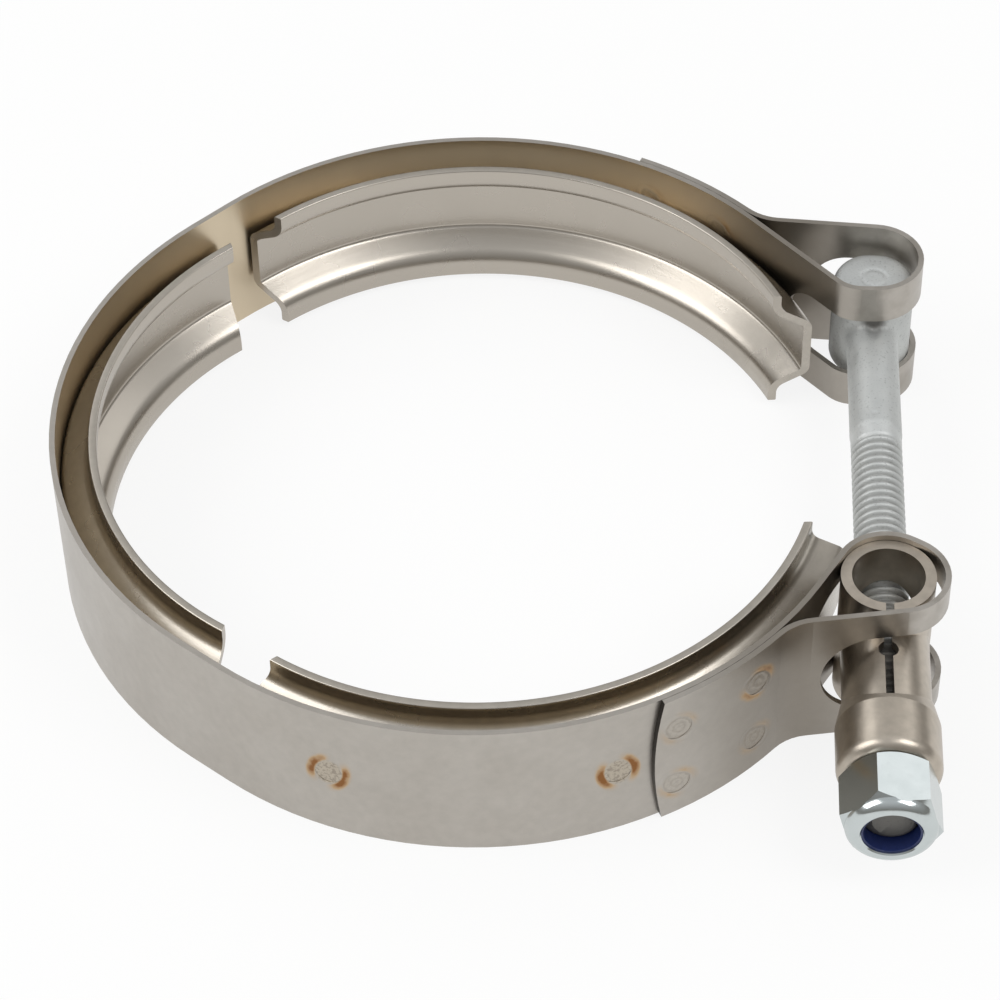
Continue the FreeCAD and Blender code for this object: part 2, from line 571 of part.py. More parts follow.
def nut_turned_envelope(corner):
    """Turned form that chamfers the seat end of the hexagon and domes the crown."""
    flat = NUT_FLATS / 2
    seat_chamfer = (corner - flat) * math.tan(math.radians(30)) + 0.25
    rim = flat + NUT_CROWN_STEP
    slope = NUT_SHOULDER / (corner - rim)
    shoulder_y = NUT_SEAT_Y - NUT_HEX_HEIGHT
    neck_y = shoulder_y - NUT_SHOULDER
    crown = V(BOLT_X + NUT_CROWN_RADIUS, NUT_END_Y, 0)
    shoulder = V(BOLT_X + corner + 0.2, shoulder_y + 0.2 * slope, 0)
    neck = V(BOLT_X + rim, neck_y, 0)
    middle = V(BOLT_X + flat - 0.3 * (flat - NUT_CROWN_RADIUS), neck_y - 0.65 * (neck_y - NUT_END_Y), 0)
    seat_in = V(BOLT_X + flat - 0.1, NUT_SEAT_Y, 0)
    seat_out = V(BOLT_X + corner + 0.2, NUT_SEAT_Y - seat_chamfer - 0.2, 0)
    top_axis, low_axis = V(BOLT_X, NUT_SEAT_Y, 0), V(BOLT_X, NUT_END_Y, 0)
    edges = [Part.makeLine(top_axis, seat_in), Part.makeLine(seat_in, seat_out),
             Part.makeLine(seat_out, shoulder), Part.makeLine(shoulder, neck),
             Part.Arc(neck, middle, crown).toShape(),
             Part.makeLine(crown, low_axis), Part.makeLine(low_axis, top_axis)]
    return Part.Face(Part.Wire(edges)).revolve(V(BOLT_X, 0, 0), V(0, 1, 0), 360)


def make_nylon_insert():
    near, far = NUT_END_Y + NYLON_LIP + NYLON_LENGTH, NUT_END_Y + NYLON_LIP
    hole = THREAD_RADIUS + NUT_THREAD_PLAY
    return turned([(near, hole), (near, NYLON_RADIUS), (far, NYLON_RADIUS), (far, hole)])


def main():
    os.makedirs("parts", exist_ok=True)
    nodes = {
        "strap": make_strap(),
        "retainer_rear": make_retainer(REAR),
        "retainer_left": make_retainer(LEFT),
        "retainer_front": make_retainer(FRONT),
        "t_bolt": make_t_bolt(),
        "trunnion": make_trunnion(),
        "trunnion_collar": make_trunnion_collar(),
        "lock_nut": make_lock_nut(),
        "nylon_insert": make_nylon_insert(),
    }
    for name, shape in nodes.items():
        box = shape.BoundBox
        print(name, "valid", shape.isValid(), "solids", len(shape.Solids), "volume %.2f" % shape.Volume,
              "x %.2f..%.2f y %.2f..%.2f z %.2f..%.2f" % (box.XMin, box.XMax, box.YMin, box.YMax,
                                                          box.ZMin, box.ZMax))
        shape.exportStep("parts/%s.step" % name)


main()
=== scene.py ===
"""The looks of an open T-bolt V-band clamp, dressed around its CAD frame.

Places are in the part's own frame: +Z along the ring's axis, +X towards the bolt, +Y towards the
bolt's cross head, and the nut at -Y. Named lengths are in millimetres and named angles in degrees
unless a comment says otherwise, and MM turns a length to metres.
"""

import json
import math

import bmesh
import bpy
from mathutils import Matrix, Vector


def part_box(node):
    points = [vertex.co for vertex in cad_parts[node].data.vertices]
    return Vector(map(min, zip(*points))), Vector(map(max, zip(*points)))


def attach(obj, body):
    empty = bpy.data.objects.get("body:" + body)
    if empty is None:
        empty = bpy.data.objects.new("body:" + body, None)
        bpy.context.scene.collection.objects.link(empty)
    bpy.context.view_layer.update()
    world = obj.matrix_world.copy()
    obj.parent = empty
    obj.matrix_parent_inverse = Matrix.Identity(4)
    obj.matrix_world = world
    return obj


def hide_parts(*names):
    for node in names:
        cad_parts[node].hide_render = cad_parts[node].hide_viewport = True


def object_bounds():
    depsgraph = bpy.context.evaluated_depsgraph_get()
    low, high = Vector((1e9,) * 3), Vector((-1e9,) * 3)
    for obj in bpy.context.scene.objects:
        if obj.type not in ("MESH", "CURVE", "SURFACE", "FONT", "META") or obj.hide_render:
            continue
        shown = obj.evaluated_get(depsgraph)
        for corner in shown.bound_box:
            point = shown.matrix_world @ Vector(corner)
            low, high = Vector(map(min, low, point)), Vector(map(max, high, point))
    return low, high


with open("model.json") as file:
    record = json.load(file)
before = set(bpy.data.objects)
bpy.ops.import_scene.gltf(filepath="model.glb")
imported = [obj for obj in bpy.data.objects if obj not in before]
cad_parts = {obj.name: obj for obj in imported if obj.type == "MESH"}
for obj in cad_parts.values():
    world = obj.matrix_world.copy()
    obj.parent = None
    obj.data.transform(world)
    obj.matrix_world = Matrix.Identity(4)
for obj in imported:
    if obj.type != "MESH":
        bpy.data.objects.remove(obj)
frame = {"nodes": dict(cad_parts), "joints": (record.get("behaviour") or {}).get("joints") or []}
CAD_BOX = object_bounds()

MM = 0.001
NODES = frame["nodes"]
JOINTS = {joint["name"]: joint for joint in frame["joints"]}

# The ring of three retainers: the angle of each one's middle, from +X, and how far the strap's curve
# behind it stands outwards.
RETAINERS = {"rear": (78.65, 5.0), "left": (184.75, 4.2), "front": (290.85, 5.0)}
STRAP_SKIN = 58.4            # the strap's outer face, from the centre of its curve
TAIL_SKIN = 59.3             # the outer face of a tail, folded back over the strap
TAIL_ENDS = (("front", -62.3, -1), ("rear", 67.0, 1))   # angle of each free end, and the way it faces
TAIL_END_REACH = 15.0        # how far from the middle of its cut face a tail's end reaches

# A retainer's bent section and its sweep.
RETAINER_EXTRA_SHIFT = 1.5   # how much further out it stands than the strap's curve
RETAINER_SHEET = 1.25
LIP_RADIUS = 49.95
RETAINER_DEPTH = 6.05
RETAINER_HALF_HEIGHT = 11.3
LIP_LENGTH = 3.3
LEG_RISE = 3.0
WEB_BEND = 1.5
LIP_BEND = 3.0
BEND_STEPS = 10
EDGE_ROUNDING = 0.2          # the sheared edges, tumbled smooth
OUTLINE_STEP = 0.5
RETAINER_HALF_ARC = 53.0
RETAINER_END_SLANT = 2.2
RETAINER_STEPS = 150

# Spot welds: retainer, angle round its strap curve, height above the ring's middle, distance out to
# the skin, the lean of the two brown horns, and how strongly the weld is heat-tinted.
WELDS = (
    ("front", 251.55, 0.0, STRAP_SKIN, -22.0, 1.0),
    ("front", 292.55, 0.0, STRAP_SKIN, 15.0, 1.0),
    ("rear", 76.95, 0.0, STRAP_SKIN, 10.0, 0.8),
    ("rear", 117.95, 0.0, STRAP_SKIN, -12.0, 0.9),
    ("left", 184.75, 0.0, STRAP_SKIN, 20.0, 0.9),
    ("left", 143.75, 0.0, STRAP_SKIN, -8.0, 0.7),
    ("front", -58.7, 6.0, TAIL_SKIN, 40.0, 0.12),
    ("front", -58.7, -6.0, TAIL_SKIN, 50.0, 0.2),
    ("front", -45.0, 6.0, TAIL_SKIN, 50.0, 0.45),
    ("front", -45.0, -6.0, TAIL_SKIN, 50.0, 0.1),
    ("rear", 63.2, 6.0, TAIL_SKIN, -40.0, 0.2),
    ("rear", 63.2, -6.0, TAIL_SKIN, 30.0, 0.1),
    ("rear", 49.8, 6.0, TAIL_SKIN, -50.0, 0.3),
    ("rear", 49.8, -6.0, TAIL_SKIN, 45.0, 0.15),
)
WELD_HALF_SIZES = (3.0, 2.05, 2.7)   # out through the sheets, along the strap and up
WELD_RIPPLE = 1.0            # between the pressed rings of a tail weld
STRAP_CRUST = 0.9            # how much of its pitted crust shows on a strap weld
TAIL_CRUST = 0.25            # and on a tail weld

# Where the strap's tones change, along X: the painted warm reflection on its inner faces ends, and the
# loops' patches and the painted shade at their neck begin.
INNER_REFLECTION_FULL_X = 30.0
INNER_REFLECTION_END_X = 52.0
LOOP_START_X = 40.0
LOOP_FULL_X = 54.0
# A painted shade is darkest at the neck and fades out on both sides.
NECK_X = 48.0                # where the strap narrows to its loops
NECK_CORE = 2.0              # how far each side of that the dark is full
NECK_REACH = 17.0            # and how far it fades out

# The bolt, from the joint that its cross head turns in.
BOLT_X, HEAD_Y = (round(metres / MM, 2) for metres in JOINTS["t_bolt_swing"]["pos_m"][:2])
BOLT_LOW, BOLT_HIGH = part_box("t_bolt")
BOLT_END_Y = BOLT_LOW.y / MM
HEAD_HALF_LENGTH = BOLT_HIGH.z / MM
SHANK_RADIUS = 4.05
THREAD_PITCH = 1.411         # 18 turns to the inch
THREAD_MAJOR_RADIUS = 3.94
THREAD_DEPTH = 0.6           # shallow: the plating fills the rolled roots
THREAD_START_Y = HEAD_Y - 27.1
THREAD_NECK = 1.2            # length in which the shank comes down to the thread's radius
THREAD_PLAIN = 2.2           # from the thread's start to the first trace of a groove
THREAD_RUN_OUT = 4.4         # and to the first groove of full depth
THREAD_SIDES = 72
THREAD_RINGS_A_PITCH = 14
BOLT_END_ROUNDING = 0.8
FORGING_GRAIN = 0.28         # the forged head's roundings are kept down to this size
SPLICE = 0.6                 # how far above the thread's start the forged skin ends
STAMP_RADIUS = 1.9           # the die's ring in the cross head's two end faces
STAMP_WIDTH = 0.35
STAMP_DEPTH = 0.16
STAMP_REACH = 0.6            # how far below an end face the ring is felt
POLISHED_Y = THREAD_START_Y - 1.5
# Painted shade on the bolt where it runs inside the trunnion, and in the notches at its shank's root.
TRUNNION_SHADE_START_Y = -35.0       # inside the trunnion
TRUNNION_SHADE_FULL_Y = -37.0
NOTCH_SHADE_PLACE = (BOLT_X, HEAD_Y - 6.4, 5.0)

# Dents that the forging dies leave: place from the middle of the cross head, half size along X, Y
# and Z, depth, and the way each is pressed.
DENTS = (
    ((0.0, -7.0, 4.6), (1.4, 3.0, 2.5), 0.7, (0, 0, -1)),         # the notch at the shank's root, above
    ((0.0, -7.0, -4.6), (1.4, 3.0, 2.5), 0.7, (0, 0, 1)),         # and below
    ((-0.4, -25.7, 3.9), (0.7, 0.5, 1.0), 0.2, (0, 0, -1)),       # a nick next to the thread
    ((-3.4, -12.0, 2.0), (1.2, 2.5, 2.0), 0.2, (0.8, 0, -0.6)),   # a flat on the shank
)


# ---------------------------------------------------------------- colours and nodes

def linear(hex_colour):
    """An sRGB hex colour as linear red, green, blue and alpha."""
    channels = [int(hex_colour[i:i + 2], 16) / 255 for i in (1, 3, 5)]
    return [c / 12.92 if c <= 0.04045 else ((c + 0.055) / 1.055) ** 2.4 for c in channels] + [1.0]


def add(tree, kind, inputs=None, **settings):
    """Adds a node. inputs gives a socket, by name or number, a value or what feeds it: another node's
    output, or another node, which stands for its first output."""
    made = tree.nodes.new(kind)
    for name, value in settings.items():
        setattr(made, name, value)
    for socket, value in (inputs or {}).items():
        if isinstance(value, bpy.types.Node):
            value = value.outputs[0]
        if isinstance(value, bpy.types.NodeSocket):
            tree.links.new(value, made.inputs[socket])
        else:
            made.inputs[socket].default_value = value
    return made


def new_finish(name, metallic=1.0):
    """A new material: returns it, its tree, its shader and the piece's own coordinates."""
    made = bpy.data.materials.new(name)
    made.use_nodes = True
    tree = made.node_tree
    tree.nodes.clear()
    shader = add(tree, "ShaderNodeBsdfPrincipled", {"Metallic": metallic})
    add(tree, "ShaderNodeOutputMaterial", {"Surface": shader})
    place = add(tree, "ShaderNodeTexCoord").outputs["Object"]
    return made, tree, shader, place


def speckle(tree, place, size_mm, detail=2.0, stretch=(1.0, 1.0, 1.0)):
    """Noise from 0 to 1 whose lumps are about size_mm across, times stretch along X, Y and Z."""
    scale = [1 / (size_mm * s * MM) for s in stretch]
    at = add(tree, "ShaderNodeMapping", {"Vector": place, "Scale": scale})
    return add(tree, "ShaderNodeTexNoise", {"Vector": at, "Scale": 1.0, "Detail": detail}).outputs[0]


def skin_place(retainer, angle, distance, height=0.0):
    """A point at an angle and a distance round a retainer's strap curve, in metres, and the way out."""
    middle, shift = RETAINERS[retainer]
    centre = Vector((math.cos(math.radians(middle)), math.sin(math.radians(middle)), 0)) * shift
    out = Vector((math.cos(math.radians(angle)), math.sin(math.radians(angle)), 0))
    return (centre + out * distance + Vector((0, 0, height))) * MM, out


# ---------------------------------------------------------------- stainless sheet

def weld_masks(tree, place, wobble, weld):
    """One spot weld's masks: its pressed nugget, the brown horns beside it and, on a tail, its ripples."""
    retainer, angle, height, skin, lean, heat = weld
    spot, _ = skin_place(retainer, angle, skin, height)
    # Out of the skin, along the strap and up, in half sizes of the nugget.
    at = add(tree, "ShaderNodeMapping", {
        "Vector": place, "Location": spot, "Rotation": (math.radians(lean), 0, math.radians(angle)),
        "Scale": [size * MM for size in WELD_HALF_SIZES]}, vector_type="TEXTURE")
    far = add(tree, "ShaderNodeVectorMath", {0: at}, operation="LENGTH").outputs["Value"]
    along = add(tree, "ShaderNodeSeparateXYZ", {0: at}).outputs["Y"]
    side = add(tree, "ShaderNodeMath", {0: along, 1: far}, operation="DIVIDE")
    either_side = add(tree, "ShaderNodeMath", {0: side}, operation="ABSOLUTE")
    lobes = add(tree, "ShaderNodeMath", {0: either_side, 1: 3.0}, operation="POWER")
    inner = add(tree, "ShaderNodeMapRange", {0: far, 1: 0.9, 2: 1.15, 3: 0.0, 4: heat},
                interpolation_type="SMOOTHSTEP")
    outer = add(tree, "ShaderNodeMapRange", {0: far, 1: 1.1, 2: 1.8, 3: 1.0, 4: 0.0},
                interpolation_type="SMOOTHSTEP")
    ring = add(tree, "ShaderNodeMath", {0: inner, 1: outer}, operation="MULTIPLY")
    horns = add(tree, "ShaderNodeMath", {0: ring, 1: lobes}, operation="MULTIPLY")
    crust = TAIL_CRUST if skin == TAIL_SKIN else STRAP_CRUST
    nugget = add(tree, "ShaderNodeMapRange", {0: far, 1: 0.8, 2: 1.1, 3: crust, 4: 0.0},
                 interpolation_type="SMOOTHSTEP")
    if skin != TAIL_SKIN:
        return nugget, horns, None
    turns = 2 * math.pi * WELD_HALF_SIZES[1] / WELD_RIPPLE
    phase = add(tree, "ShaderNodeMath", {0: far, 1: turns, 2: wobble}, operation="MULTIPLY_ADD")
    wave = add(tree, "ShaderNodeMath", {0: phase}, operation="SINE")
    near = add(tree, "ShaderNodeMapRange", {0: far, 1: 1.0, 2: 1.5, 3: 1.0, 4: 0.0},
               interpolation_type="SMOOTHSTEP")
    return nugget, horns, add(tree, "ShaderNodeMath", {0: wave, 1: near}, operation="MULTIPLY")


def all_welds(tree, place, mottle):
    """The masks of all the spot welds together: nuggets, horns and ripples, which mottle breaks up."""
    wobble = add(tree, "ShaderNodeMath", {0: mottle, 1: 6.0}, operation="MULTIPLY")
    totals = []
    for masks in zip(*[weld_masks(tree, place, wobble, weld) for weld in WELDS]):
        total, *others = [mask for mask in masks if mask is not None]
        for mask in others:
            total = add(tree, "ShaderNodeMath", {0: total, 1: mask}, operation="ADD")
        totals.append(total)
    return totals


def painted_inner_reflection(tree, place, steel, straw):
    """Faces turned to the ring's axis get a painted warm reflection in a straw colour, but not on the
    loops.
    """
    flat = add(tree, "ShaderNodeVectorMath", {0: place, 1: (1, 1, 0)}, operation="MULTIPLY")
    radial = add(tree, "ShaderNodeVectorMath", {0: flat}, operation="NORMALIZE")
    normal = add(tree, "ShaderNodeTexCoord").outputs["Normal"]
    outward = add(tree, "ShaderNodeVectorMath", {0: radial, 1: normal}, operation="DOT_PRODUCT")
    x = add(tree, "ShaderNodeSeparateXYZ", {0: place}).outputs["X"]
    on_ring = add(tree, "ShaderNodeMapRange", {0: x, 1: INNER_REFLECTION_END_X * MM, 2: INNER_REFLECTION_FULL_X * MM})
    inward = add(tree, "ShaderNodeMapRange", {0: outward.outputs["Value"], 1: -0.1, 2: -0.6, 3: 0.0,
                                              4: on_ring})
    return add(tree, "ShaderNodeMix", {0: inward, 6: steel, 7: linear(straw)}, data_type="RGBA").outputs[2]


def patchy_loops_and_shade(tree, place, steel):
    """The bending tools leave the loops patchy, and a painted shade darkens the strap, most where it
    narrows to them.
    """
    x = add(tree, "ShaderNodeSeparateXYZ", {0: place}).outputs["X"]
    smears = speckle(tree, place, 5.0, 3.0)
    smear = add(tree, "ShaderNodeMapRange", {0: smears, 1: 0.42, 2: 0.6, 3: 0.0, 4: 0.35})
    on_loop = add(tree, "ShaderNodeMapRange", {0: x, 1: LOOP_START_X * MM, 2: LOOP_FULL_X * MM})
    smear = add(tree, "ShaderNodeMath", {0: smear, 1: on_loop}, operation="MULTIPLY")
    past_neck = add(tree, "ShaderNodeMath", {0: x, 1: NECK_X * MM}, operation="SUBTRACT")
    from_neck = add(tree, "ShaderNodeMath", {0: past_neck}, operation="ABSOLUTE")
    neck_shade = add(tree, "ShaderNodeMapRange", {0: from_neck, 1: NECK_CORE * MM, 2: NECK_REACH * MM,
                                            3: 0.65, 4: 0.0}, interpolation_type="SMOOTHSTEP")
    dark = add(tree, "ShaderNodeMath", {0: smear, 1: neck_shade}, operation="MAXIMUM")
    # This dark tone serves both the loops' patches and the painted shade at the neck.
    return add(tree, "ShaderNodeMix", {0: dark, 6: steel, 7: linear("#857D72")},
               data_type="RGBA").outputs[2]


def spot_welded(tree, place, mottle, steel, rough, height):
    """Spot welds in the sheet: a pale crust of fine pits, straw to brown horns, and rings on the tails.
    Returns the steel's colour, roughness and height with them."""
    nugget, horn, ripple = all_welds(tree, place, mottle)
    patchy = add(tree, "ShaderNodeMapRange", {0: mottle, 1: 0.3, 2: 0.65, 3: 0.6, 4: 1.5})
    burnt = add(tree, "ShaderNodeMath", {0: horn, 1: patchy}, operation="MULTIPLY")
    straw = add(tree, "ShaderNodeMapRange", {0: burnt, 1: 0.01, 2: 0.3, 3: 0.0, 4: 0.75})
    brown = add(tree, "ShaderNodeMapRange", {0: burnt, 1: 0.2, 2: 0.8, 3: 0.0, 4: 0.9})
    pits = speckle(tree, place, 0.42)
    between_pits = add(tree, "ShaderNodeMapRange", {0: pits, 1: 0.4, 2: 0.52})
    crust = add(tree, "ShaderNodeMix", {0: between_pits, 6: linear("#998D7E"), 7: linear("#BFB4A2")},
                data_type="RGBA").outputs[2]
    fired = add(tree, "ShaderNodeMath", {0: nugget, 1: 0.8}, operation="MULTIPLY")
    rings = add(tree, "ShaderNodeMapRange", {0: ripple, 1: 0.1, 2: 0.9, 3: 0.0, 4: 0.2})
    rings = add(tree, "ShaderNodeMath", {0: rings, 1: patchy}, operation="MULTIPLY")
    for share, tint in ((straw, linear("#BE9C6E")), (brown, linear("#82501F")), (fired, crust),
                        (rings, linear("#7E7468"))):
        steel = add(tree, "ShaderNodeMix", {0: share, 6: steel, 7: tint}, data_type="RGBA").outputs[2]
    rough = add(tree, "ShaderNodeMix", {0: nugget, 2: rough, 3: 0.5}, data_type="FLOAT")
    pitted = add(tree, "ShaderNodeMath", {0: nugget, 1: pits}, operation="MULTIPLY")
    height = add(tree, "ShaderNodeMath", {0: pitted, 1: 5.0, 2: height}, operation="MULTIPLY_ADD")
    height = add(tree, "ShaderNodeMath", {0: ripple, 1: 3.0, 2: height}, operation="MULTIPLY_ADD")
    return steel, rough, height


def shadowed_tail_ends(tree, place, steel):
    """The tails' cut ends, darkened with a painted shadow of the gap under each."""
    normal = add(tree, "ShaderNodeTexCoord").outputs["Normal"]
    for retainer, angle, way in TAIL_ENDS:
        end, out = skin_place(retainer, angle, TAIL_SKIN)
        cut_faces = Vector((-out.y, out.x, 0)) * way
        facing = add(tree, "ShaderNodeVectorMath", {0: normal, 1: cut_faces}, operation="DOT_PRODUCT")
        faced = add(tree, "ShaderNodeMapRange", {0: facing.outputs["Value"], 1: 0.7, 2: 0.85})
        gone = add(tree, "ShaderNodeVectorMath", {0: place, 1: end}, operation="DISTANCE")
        near = add(tree, "ShaderNodeMath", {0: gone.outputs["Value"], 1: TAIL_END_REACH * MM},
                   operation="LESS_THAN")
        tail_end_shadow = add(tree, "ShaderNodeMath", {0: faced, 1: near}, operation="MULTIPLY")
        # A painted shadow on the cut end face.
        steel = add(tree, "ShaderNodeMix", {0: tail_end_shadow, 6: steel, 7: linear("#2A2622")},
                    data_type="RGBA").outputs[2]
    return steel


def rolled_sheet(name, colour, shade, gloss, inside, patch, welded=False):
    """Rolled stainless sheet: rolling lines round the ring, clouded shine, and duller sheared edges.
    inside is the tint of the painted reflection on its inner faces, and patch the tone of its darkest
    mottling."""
    made, tree, shader, place = new_finish(name)
    # Real rolling lines are some ten times finer, too fine to show.
    lines = speckle(tree, place, 0.35, 3.0, (60.0, 60.0, 1.0))
    grain = speckle(tree, place, 0.3)
    clouds = speckle(tree, place, 9.0, 4.0)
    mottle = speckle(tree, place, 1.6, 3.0)
    body = add(tree, "ShaderNodeMix", {0: clouds, 6: linear(colour), 7: linear(shade)}, data_type="RGBA")
    tone = add(tree, "ShaderNodeMapRange", {0: mottle, 1: 0.3, 2: 0.7, 3: patch, 4: 1.02})
    steel = add(tree, "ShaderNodeMix", {0: 1.0, 6: body.outputs[2], 7: tone}, data_type="RGBA",
                blend_type="MULTIPLY").outputs[2]
    # A painted warm reflection on the faces turned to the ring's axis.
    steel = painted_inner_reflection(tree, place, steel, inside)
    # The sheared edges face up and down.
    normal = add(tree, "ShaderNodeTexCoord").outputs["Normal"]
    up = add(tree, "ShaderNodeSeparateXYZ", {0: normal}).outputs["Z"]
    upright = add(tree, "ShaderNodeMath", {0: up}, operation="ABSOLUTE")
    edge = add(tree, "ShaderNodeMapRange", {0: upright, 1: 0.93, 2: 0.99})
    rough = add(tree, "ShaderNodeMapRange", {0: clouds, 3: gloss, 4: gloss + 0.12})
    rough = add(tree, "ShaderNodeMix", {0: edge, 2: rough, 3: 0.5}, data_type="FLOAT")
    height = add(tree, "ShaderNodeMath", {0: lines, 1: grain}, operation="ADD")
    if welded:
        # The loops' patches and painted shade, the welds, and a painted shadow on the tails' cut ends.
        steel = patchy_loops_and_shade(tree, place, steel)
        steel, rough, height = spot_welded(tree, place, mottle, steel, rough, height)
        steel = shadowed_tail_ends(tree, place, steel)
    bump = add(tree, "ShaderNodeBump", {"Strength": 0.25, "Distance": 0.03 * MM, "Height": height})
    tree.links.new(steel, shader.inputs["Base Color"])
    tree.links.new(rough.outputs[0], shader.inputs["Roughness"])
    tree.links.new(bump.outputs[0], shader.inputs["Normal"])
    return made


# ---------------------------------------------------------------- zinc plate and nylon

def bolt_shade_and_polish(tree, place, zinc):
    """The bolt's painted shade, in its thread roots, in the forging notches and on the length inside the
    trunnion, and its polished band.
    """
    x, y, z = add(tree, "ShaderNodeSeparateXYZ", {0: place}).outputs
    aside = add(tree, "ShaderNodeMath", {0: x, 1: BOLT_X * MM}, operation="SUBTRACT")
    off_axis = add(tree, "ShaderNodeCombineXYZ", {0: aside, 1: z})
    radius = add(tree, "ShaderNodeVectorMath", {0: off_axis}, operation="LENGTH").outputs["Value"]
    # Painted shade in the thread roots, darker the deeper the groove.
    root = add(tree, "ShaderNodeMapRange", {
        0: radius, 1: (THREAD_MAJOR_RADIUS - 0.12) * MM, 2: (THREAD_MAJOR_RADIUS - THREAD_DEPTH) * MM,
        3: 0.0, 4: 0.5})
    threaded = add(tree, "ShaderNodeMath", {0: y, 1: THREAD_START_Y * MM}, operation="LESS_THAN")
    root = add(tree, "ShaderNodeMath", {0: root, 1: threaded}, operation="MULTIPLY")
    # Painted shade darkens the length inside the trunnion and beyond.
    trunnion_shade = add(tree, "ShaderNodeMapRange", {0: y, 1: TRUNNION_SHADE_START_Y * MM, 2: TRUNNION_SHADE_FULL_Y * MM,
                                              3: 0.0, 4: 0.85})
    # Painted shade darkens the forging notches at the shank's root, above and below.
    folded = add(tree, "ShaderNodeVectorMath", {0: place}, operation="ABSOLUTE")
    gone = add(tree, "ShaderNodeVectorMath", {0: folded, 1: Vector(NOTCH_SHADE_PLACE) * MM},
               operation="DISTANCE").outputs["Value"]
    notch_shade = add(tree, "ShaderNodeMapRange", {0: gone, 1: 0.8 * MM, 2: 2.6 * MM, 3: 0.8, 4: 0.0},
               interpolation_type="SMOOTHSTEP")
    dark = add(tree, "ShaderNodeMath", {0: root, 1: trunnion_shade}, operation="MAXIMUM")
    dark = add(tree, "ShaderNodeMath", {0: dark, 1: notch_shade}, operation="MAXIMUM")
    # The rolling dies polish a pale band where the thread runs out.
    past_band = add(tree, "ShaderNodeMath", {0: y, 1: POLISHED_Y * MM}, operation="SUBTRACT")
    from_band = add(tree, "ShaderNodeMath", {0: past_band}, operation="ABSOLUTE")
    polished = add(tree, "ShaderNodeMapRange", {0: from_band, 1: 0.3 * MM, 2: 2.0 * MM, 3: 0.5, 4: 0.0},
                   interpolation_type="SMOOTHSTEP")
    # The dark tint is the colour of the painted shade, and the pale one that of the polished band.
    for share, tint in ((polished, "#D9DBDA"), (dark, "#5C5852")):
        zinc = add(tree, "ShaderNodeMix", {0: share, 6: zinc, 7: linear(tint)},
                   data_type="RGBA").outputs[2]
    return zinc


def zinc_plated(name, colour, shade, gloss, lump_mm, depth_mm, pore, metal, bolt=False):
    """Zinc plate, as bright or as grainy as gloss, lump_mm and depth_mm make it. pore is the tone of
    its pores, and metal is how much of it is bare metal rather than chalky oxide."""
    made, tree, shader, place = new_finish(name, metal)
    grains = speckle(tree, place, lump_mm, 4.0)
    clouds = speckle(tree, place, 3.0, 4.0)
    body = add(tree, "ShaderNodeMix", {0: clouds, 6: linear(colour), 7: linear(shade)}, data_type="RGBA")
    pores = add(tree, "ShaderNodeMapRange", {0: grains, 1: 0.28, 2: 0.42, 3: pore, 4: 1.0})
    zinc = add(tree, "ShaderNodeMix", {0: 1.0, 6: body.outputs[2], 7: pores}, data_type="RGBA",
               blend_type="MULTIPLY").outputs[2]
    if bolt:
        zinc = bolt_shade_and_polish(tree, place, zinc)
    rough = add(tree, "ShaderNodeMapRange", {0: clouds, 3: gloss, 4: gloss + 0.1})
    bump = add(tree, "ShaderNodeBump", {"Strength": 0.5, "Distance": depth_mm * MM, "Height": grains})
    tree.links.new(zinc, shader.inputs["Base Color"])
    tree.links.new(rough.outputs[0], shader.inputs["Roughness"])
    tree.links.new(bump.outputs[0], shader.inputs["Normal"])
    return made


def moulded_nylon(name, colour, shade):
    """Moulded nylon: a deep dyed colour with a soft waxy sheen."""
    made, tree, shader, place = new_finish(name, 0.0)
    shader.inputs["IOR"].default_value = 1.53
    grains = speckle(tree, place, 0.4)
    body = add(tree, "ShaderNodeMix", {0: grains, 6: linear(colour), 7: linear(shade)}, data_type="RGBA")
    rough = add(tree, "ShaderNodeMapRange", {0: grains, 3: 0.3, 4: 0.4})
    tree.links.new(body.outputs[2], shader.inputs["Base Color"])
    tree.links.new(rough.outputs[0], shader.inputs["Roughness"])
    return made


# Cold-rolled stainless strip: a soft silver grey with fine lines, a painted warm reflection inside, brown
# at its welds, and painted shade at its loops' neck and its tails' cut ends.
STRAP_STEEL = rolled_sheet("cold_rolled_stainless_strap", "#BAB5AE", "#AFA9A1", 0.28, "#D6C7AE", 0.95,
                           welded=True)
# Roll-formed stainless sheet: the rolls burnish it, so it shines a little more than the strap.
RETAINER_STEEL = rolled_sheet("roll_formed_stainless_retainer", "#BFB9B0", "#AFA89D", 0.22, "#B9B2A8",
                              0.92)
# Stainless sheet rolled to a tube and drawn to a cap: warmer, and more mottled than the strap.
TRUNNION_STEEL = rolled_sheet("rolled_stainless_trunnion", "#C8BEB1", "#B4AB9E", 0.27, "#BAB0A3", 0.87)
# Cold-forged steel, barrel-plated with dull zinc: pale, chalky and grainy, with painted shade in its
# thread roots, its notches and inside the trunnion.
BOLT_ZINC = zinc_plated("dull_zinc_plated_bolt", "#CFD1CF", "#BCBEBD", 0.5, 0.4, 0.1, 0.72, 0.6,
                        bolt=True)
# Machined steel with bright zinc: smooth and nearly a mirror, in a cold blue white.
NUT_ZINC = zinc_plated("bright_zinc_plated_nut", "#CBD1D1", "#C1C8C8", 0.12, 1.2, 0.003, 0.96, 1.0)
# Dyed nylon, moulded smooth: a dark blue ring with a broad, soft highlight.
BLUE_NYLON = moulded_nylon("moulded_blue_nylon", "#26356C", "#1B2856")


def dress(node, material):
    """Gives a CAD node its finish, in its own slots."""
    mesh = NODES[node].data
    if not mesh.materials:
        mesh.materials.append(material)
    for index in range(len(mesh.materials)):
        mesh.materials[index] = material


